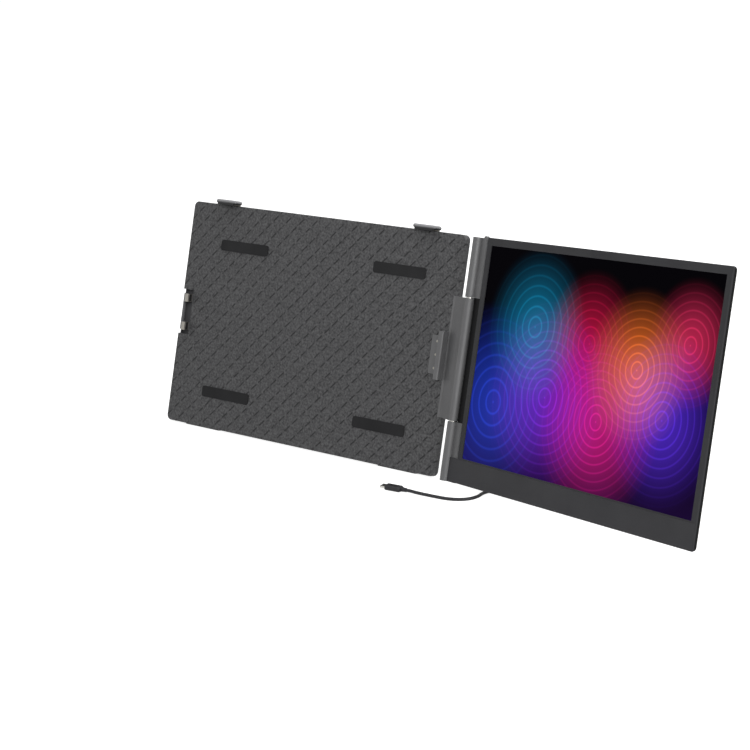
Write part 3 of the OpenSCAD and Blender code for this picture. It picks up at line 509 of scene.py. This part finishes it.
def bare_metal(name, tone, roughness, lay, stretch):
    """Bare metal, with fine lines drawn out along one axis."""
    material, tree, shader = start_finish(name, Metallic=1.0)
    place = add_node(tree, "ShaderNodeTexCoord").outputs["Object"]
    drawn = add_node(tree, "ShaderNodeMapping", {"Vector": place, "Scale": stretch})
    fine = add_node(tree, "ShaderNodeTexNoise", {
        "Vector": drawn.outputs["Vector"], "Scale": per_mm(lay), "Detail": 3.0})
    shade = add_node(tree, "ShaderNodeMapRange", {
        "Value": fine.outputs["Fac"], "From Min": NOISE_LOW, "From Max": NOISE_HIGH})
    mix = add_node(tree, "ShaderNodeMix", {
        "Factor": shade.outputs["Result"], "A": colour(tone[0]), "B": colour(tone[1])},
        data_type="RGBA")
    rough = add_node(tree, "ShaderNodeMapRange", {
        "Value": fine.outputs["Fac"], "From Min": NOISE_LOW, "From Max": NOISE_HIGH,
        "To Min": roughness - GLOSS_SPREAD, "To Max": roughness + GLOSS_SPREAD})
    bump = add_node(tree, "ShaderNodeBump", {
        "Height": fine.outputs["Fac"], "Strength": 0.25, "Distance": LINE_DEPTH * MM})
    tree.links.new(mix.outputs["Result"], shader.inputs["Base Color"])
    tree.links.new(rough.outputs["Result"], shader.inputs["Roughness"])
    tree.links.new(bump.outputs["Normal"], shader.inputs["Normal"])
    return material


# Rolled and anodised aluminium: a pale, slightly warm satin.
slide_metal = bare_metal("anodised_aluminium", ("#8a8781", "#98958e"), 0.4, 0.5, (0.2, 1, 1))
# Drawn wire and ground pins: bright steel, with lines along them.
spring_steel = bare_metal("spring_steel", ("#a7a7aa", "#bdbdc0"), 0.25, 0.4, (1, 1, 0.1))
# Chemically blackened screws: nearly black, with a dull metal glint.
black_steel = bare_metal("blackened_steel", ("#1d1d1e", "#29292a"), 0.42, 0.4, (1, 1, 1))
# Nickel plate on sockets, plug shells and washers: bright and faintly yellow.
nickel = bare_metal("nickel_plate", ("#b4b2ac", "#c6c4bf"), 0.22, 0.3, (0.15, 1, 1))
print("metals:", slide_metal.name, spring_steel.name, black_steel.name, nickel.name)

# %% [markdown]
# ## Finishes of the hinge and display
# The hinge's knuckles are die-cast and painted in a satin grey, a little lighter than the bezel,
# so that soft light draws a pale band down each barrel. The bezel is a plain grey moulding, and
# the chin below the picture is a shade paler. Both are so matt that they reflect half as much as
# the other plastics.

# %% Hinge, bezel and chin
# Sprayed satin paint on die-cast zinc: smooth mid grey, with a broad soft highlight.
hinge_paint = moulded(
    "satin_painted_zinc", "#555556", "#4f4f50", 0.42, 0.5, 0.03, 40, shine=0.45)
# Matt moulded ABS: charcoal, the same shade in almost any light.
bezel_plastic = moulded("matt_abs_bezel", "#303032", "#2b2b2d", 0.5, 0.5, 0.03, 40, shine=0.1)
# The same plastic from another mould, a shade paler.
chin_plastic = moulded("matt_abs_chin", "#343436", "#303032", 0.5, 0.5, 0.03, 40, shine=0.1)
print("hinge and bezel:", hinge_paint.name, bezel_plastic.name, chin_plastic.name)

# %% [markdown]
# The shell is one black moulding. Its colour changes with depth, measured square to the display
# from the hinge's axis: the back is a mottled black, and in front of that depth the side wall and
# the strips in the hinge's recess are darkened to near black, painted shade over the black plastic.

# %% The display's shell
PANEL_TURN = (Matrix.Rotation(-LEAN, 3, "X") @ Matrix.Rotation(-SWING, 3, "Z")).to_euler()
PAINTED_SHADE_TO = 5.45 * MM
PAINTED_SHADE_BLEND = 0.3 * MM


# Black moulded ABS: mottled on the back; near black round the edge, where shade is painted on.
def shell():
    """The finish of the display's shell, of the liner over its edge and of the tongues."""
    material, tree, shader = start_finish("abs_shell", IOR=1.5, Specular_IOR_Level=0.12)
    flat = turned(tree, hinge["pos_m"], PANEL_TURN)
    depth = add_node(tree, "ShaderNodeSeparateXYZ", {"Vector": flat}).outputs["Y"]
    back = add_node(tree, "ShaderNodeMapRange", {
        "Value": depth, "From Min": PAINTED_SHADE_TO, "From Max": PAINTED_SHADE_TO + PAINTED_SHADE_BLEND})
    textured = mottle(tree, "#202021", "#1b1b1c", 40)
    # In front of that depth the colour is near black: painted shade of the hinge's recess and edge.
    mix = add_node(tree, "ShaderNodeMix", {
        "Factor": back.outputs["Result"], "A": colour("#060607"), "B": textured},
        data_type="RGBA")
    tree.links.new(mix.outputs["Result"], shader.inputs["Base Color"])
    grain(tree, shader, 0.6, 0.05, 0.5)
    return material


shell_plastic = shell()
# The printed depth is where the painted shade ends and the back's mottle begins.
print(shell_plastic.name, "is textured from", round(PAINTED_SHADE_TO / MM, 2), "mm behind the axis")

# %% [markdown]
# The small plastic pieces differ mostly in gloss. The tray behind the panel is pale, to throw the
# panel's light forwards. The plugs' grips and the cable's jacket are the same soft thermoplastic
# rubber, moulded over the lead's wires.

# %% Tray, buttons, plugs and cable
# Moulded polycarbonate: pale grey and evenly matt.
tray_plastic = moulded("polycarbonate_tray", "#8e9092", "#828486", 0.45)
# Fine-grained ABS that fingers have polished: dark, with a small sharp highlight.
button_plastic = moulded("satin_abs_button", "#2c2c2e", "#262628", 0.3, 0.4, 0.02, 10)
# Thermoplastic rubber over a hard core: charcoal, with a soft dull gloss.
plug_plastic = moulded("overmoulded_tpe_plug", "#303032", "#29292b", 0.5, 0.4, 0.03, 10, 1.46)
# The same rubber drawn out over the wires, a little darker and smoother.
cable_jacket = moulded("tpe_cable_jacket", "#2e2e30", "#28282a", 0.48, 0.5, 0.03, 10, 1.46)
print("small plastics:", tray_plastic.name, button_plastic.name, plug_plastic.name)

# %% [markdown]
# The driver board is woven glass in resin under a green solder mask. Copper tracks lie below the
# mask and show as a slightly lighter green. The joints of a brick pattern stand for them: its
# bricks are half as long as the size given and a quarter as high, which is 3 by 1.5 mm here.

# %% The circuit board
# Glossy green lacquer over glass fibre, with lighter lines where copper lies under it.
def solder_mask():
    """The finish of the driver board."""
    material, tree, shader = start_finish("fibreglass_circuit_board", Roughness=0.3, IOR=1.5)
    place = add_node(tree, "ShaderNodeTexCoord").outputs["Object"]
    tracks = add_node(tree, "ShaderNodeTexBrick", {
        "Vector": place, "Scale": per_mm(6), "Color1": colour("#1b4a35"),
        "Color2": colour("#1f5a3f"), "Mortar": colour("#2f7a55"), "Mortar Size": 0.03})
    tree.links.new(tracks.outputs["Color"], shader.inputs["Base Color"])
    return material


circuit_board = solder_mask()
print("board:", circuit_board.name)

# %% [markdown]
# ## The picture
# The picture is lit from behind, so it is light and not paint: its colour goes to the shader's
# emission, over a black base that reflects very little because of its anti-glare coating. It
# shows a pattern of this lesson's own: soft glowing discs with fine rings, in violet, magenta,
# orange and blue on black. The list gives each disc's centre and radius in decimetres from the
# panel's middle, its colour, and how many rings it has.

# %% The picture's discs
panel_low, panel_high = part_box("screen_panel")
PANEL_AT = (panel_low + panel_high) / 2
DECIMETRE = 0.1
RING_WIDTH = 0.16
BETWEEN_RINGS = 0.55
DISCS = [
    ((-1.35, -0.45), 1.05, "#2440c8", 9),
    ((-0.85, 0.35), 0.80, "#0f7fa8", 8),
    ((-0.55, -0.30), 1.00, "#7a28d8", 11),
    ((0.00, 0.28), 0.72, "#c81446", 9),
    ((0.25, -0.42), 0.95, "#e0208c", 12),
    ((0.72, 0.12), 0.78, "#ff7a30", 10),
    ((1.15, -0.28), 0.85, "#5a30e0", 10),
    ((1.38, 0.42), 0.62, "#e03060", 8),
]


def ringed_glow(tree, plane, centre, radius, rings):
    """One at a disc's centre and nought at its rim, dimmed between its thin rings."""
    away = add_node(tree, "ShaderNodeVectorMath", {
        0: plane.outputs["Vector"], 1: (*centre, 0)}, operation="DISTANCE")
    fade = add_node(tree, "ShaderNodeMapRange", {
        "Value": away.outputs["Value"], "From Min": radius, "From Max": 0.0},
        interpolation_type="SMOOTHSTEP")
    turns = add_node(tree, "ShaderNodeMath", {
        0: away.outputs["Value"], 1: rings / radius}, operation="MULTIPLY")
    ring = add_node(tree, "ShaderNodeMath", {0: turns.outputs[0], 1: 0.5}, operation="PINGPONG")
    fine = add_node(tree, "ShaderNodeMapRange", {
        "Value": ring.outputs[0], "From Min": 0.0, "From Max": RING_WIDTH, "To Min": 1.0,
        "To Max": BETWEEN_RINGS})
    glow = add_node(tree, "ShaderNodeMath", {
        0: fade.outputs["Result"], 1: fine.outputs["Result"]}, operation="MULTIPLY")
    return glow.outputs[0]


print("discs:", len(DISCS))

# %% [markdown]
# The discs are added one after another with Screen mixing, which adds them as light adds. They lie
# in the panel's own plane, so the coordinates are turned with the panel first. A violet haze rises
# from the picture's lower edge and keeps the black from looking switched off.

# %% The lit panel
HAZE_FROM = -0.2
HAZE_FULL_AT = -1.1
HAZE_STRENGTH = 0.8


# Etched anti-glare glass over a lit panel: bright, with no mirror image in it.
def picture():
    """The finish of the screen's panel, with its picture."""
    material, tree, shader = start_finish(
        "anti_glare_glass", Base_Color=colour("#010101"), Roughness=0.4, IOR=1.5,
        Specular_IOR_Level=0.004, Emission_Strength=1.0)
    flat = turned(tree, PANEL_AT, PANEL_TURN, DECIMETRE)
    parts = add_node(tree, "ShaderNodeSeparateXYZ", {"Vector": flat})
    plane = add_node(tree, "ShaderNodeCombineXYZ", {
        "X": parts.outputs["X"], "Y": parts.outputs["Z"]})
    low = add_node(tree, "ShaderNodeMapRange", {
        "Value": parts.outputs["Z"], "From Min": HAZE_FROM, "From Max": HAZE_FULL_AT,
        "To Max": HAZE_STRENGTH})
    shown = add_node(tree, "ShaderNodeMix", {
        "Factor": low.outputs["Result"], "A": colour("#020104"), "B": colour("#1c0836")},
        data_type="RGBA").outputs["Result"]
    for centre, radius, tone, rings in DISCS:
        glow = ringed_glow(tree, plane, centre, radius, rings)
        shown = add_node(tree, "ShaderNodeMix", {"Factor": glow, "A": shown, "B": colour(tone)},
                         data_type="RGBA", blend_type="SCREEN").outputs["Result"]
    tree.links.new(shown, shader.inputs["Emission Color"])
    return material


screen_glass = picture()
print("picture:", len(screen_glass.node_tree.nodes), "nodes")

# %% [markdown]
# ## Giving out the finishes
# Each CAD piece gets its finish through its material slots. The list reads like a parts list, one
# entry for each finish. The new pieces have no slot yet, so theirs is added.

# %% Give every piece its finish
FINISHES = [
    (frame_plastic, ["front_plate"]),
    (cover_plastic, ["back_cover", "stand_panel"]),
    (rubber, ["lid_pads", "bottom_pads", "hook_right_pad", "claw_left_pad", "claw_top_left_pad",
              "claw_top_right_pad", "stand_foot"]),
    (hook_metal, ["claw_left_slide"]),
    (top_hook_finish, ["claw_top_left_hook", "claw_top_right_hook"]),
    (slide_metal, ["claw_left_hook", "claw_top_left_slide", "claw_top_right_slide",
                   "hook_rivets"]),
    (spring_steel, ["claw_left_spring", "claw_top_left_spring", "claw_top_right_spring",
                    "stand_pins", "hinge_pins"]),
    (black_steel, ["cover_screws", "hinge_arm_screws", "leaf_screws", "shell_screws"]),
    (hinge_paint, ["hinge_arm", "hinge_leaf", "barrel_caps", "hook_right"]),
    (bezel_plastic, ["display_bezel"]),
    (chin_plastic, ["chin_cover"]),
    (screen_glass, ["screen_panel"]),
    (tray_plastic, ["panel_tray"]),
    (shell_plastic, ["back_shell"]),
    (circuit_board, ["driver_board"]),
    (nickel, ["friction_washers", "usb_c_sockets", "mini_hdmi_socket", "plug_shells"]),
    (button_plastic, ["power_button", "plus_button", "minus_button"]),
    (plug_plastic, ["plug_display", "plug_laptop"]),
    (cable_jacket, ["cord"]),
]
for finish, names in FINISHES:
    for name in names:
        for slot in nodes[name].material_slots:
            slot.material = finish
cable_data.materials.append(cable_jacket)
seal.data.materials.append(rubber)
for strip in (liner, *tongues):
    strip.data.materials.append(shell_plastic)
print("finished:", sum(len(names) for finish, names in FINISHES), "of", len(nodes), "CAD pieces")

# %% [markdown]
# ## The studio
# The object stands on a plain pale floor. What the camera sees of the floor is raised to white by
# a little added light that only camera, mirror and glass rays meet, so the floor keeps the
# object's shadow and throws no extra light on it. The sky is done in the same way: white where it
# is seen, and dim where it lights.

# %% Floor
FLOOR_SIZE = 60
FLOOR_GREY = 0.5
FLOOR_LIFT = 0.85
floor_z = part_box("bottom_pads")[0].z


def seen_ray(tree):
    """One for a ray from the camera, a mirror or glass, and nought for the rest."""
    path = add_node(tree, "ShaderNodeLightPath")
    first = add_node(tree, "ShaderNodeMath", {
        0: path.outputs["Is Camera Ray"], 1: path.outputs["Is Glossy Ray"]},
        operation="MAXIMUM")
    both = add_node(tree, "ShaderNodeMath", {
        0: first.outputs[0], 1: path.outputs["Is Transmission Ray"]}, operation="MAXIMUM")
    return both.outputs[0]


bpy.ops.object.select_all(action="DESELECT")
bpy.ops.mesh.primitive_plane_add(size=FLOOR_SIZE, location=(0, 0, floor_z))
floor = bpy.context.object
floor.name = "floor"
floor_finish = bpy.data.materials.new("pale_floor")
floor_finish.use_nodes = True
tree = floor_finish.node_tree
tree.nodes.remove(tree.nodes["Principled BSDF"])
matt = add_node(tree, "ShaderNodeBsdfDiffuse", {
    "Color": (FLOOR_GREY, FLOOR_GREY, FLOOR_GREY, 1)})
lift = add_node(tree, "ShaderNodeMath", {0: seen_ray(tree), 1: FLOOR_LIFT}, operation="MULTIPLY")
extra = add_node(tree, "ShaderNodeEmission", {"Color": (1, 1, 1, 1), "Strength": lift.outputs[0]})
total = add_node(tree, "ShaderNodeAddShader", {0: matt.outputs[0], 1: extra.outputs[0]})
tree.links.new(total.outputs[0], tree.nodes["Material Output"].inputs["Surface"])
floor.data.materials.append(floor_finish)
print("floor at", round(floor_z, 4), "m")

# %% Sky
SKY_LIGHT = 0.28
SKY_SEEN = 1.0

world = bpy.data.worlds.new("studio")
bpy.context.scene.world = world
world.use_nodes = True
tree = world.node_tree
background = tree.nodes["Background"]
sky = add_node(tree, "ShaderNodeMapRange", {
    "Value": seen_ray(tree), "To Min": SKY_LIGHT, "To Max": SKY_SEEN})
background.inputs["Color"].default_value = (1, 1, 1, 1)
tree.links.new(sky.outputs["Result"], background.inputs["Strength"])
print("sky lights with", SKY_LIGHT, "and shows as", SKY_SEEN)

# %% [markdown]
# Soft light comes from all round. The key lamp stands near the camera, a little to its right and
# higher, and draws the pale band down the barrels. Weaker lamps at the left, the right, behind
# and overhead keep every side readable. All are large squares, so no shadow has a hard edge, and
# together they are weak enough that a colour renders about as it is written.

# %% Lamps
LAMP_AIM = Vector((0.15, 0, 0))
LAMPS = [
    ("key_lamp", (1.55, -1.9, 1.35), 1.1, 35),
    ("left_lamp", (-2.2, -0.9, 1.5), 1.6, 8),
    ("right_lamp", (2.15, -1.05, 0.9), 1.2, 22),
    ("back_lamp", (0.3, 2.2, 1.8), 1.6, 30),
    ("top_lamp", (0.1, 0.1, 1.5), 1.0, 10),
]
for name, at, size, power in LAMPS:
    lamp_data = bpy.data.lights.new(name, "AREA")
    lamp_data.size = size
    lamp_data.energy = power
    lamp = bpy.data.objects.new(name, lamp_data)
    bpy.context.scene.collection.objects.link(lamp)
    lamp.location = at
    lamp.rotation_euler = (LAMP_AIM - Vector(at)).to_track_quat("-Z", "Y").to_euler()
bpy.context.scene.view_settings.view_transform = "Standard"
print("lamps:", len(LAMPS), "with", sum(power for name, at, size, power in LAMPS), "W in all")
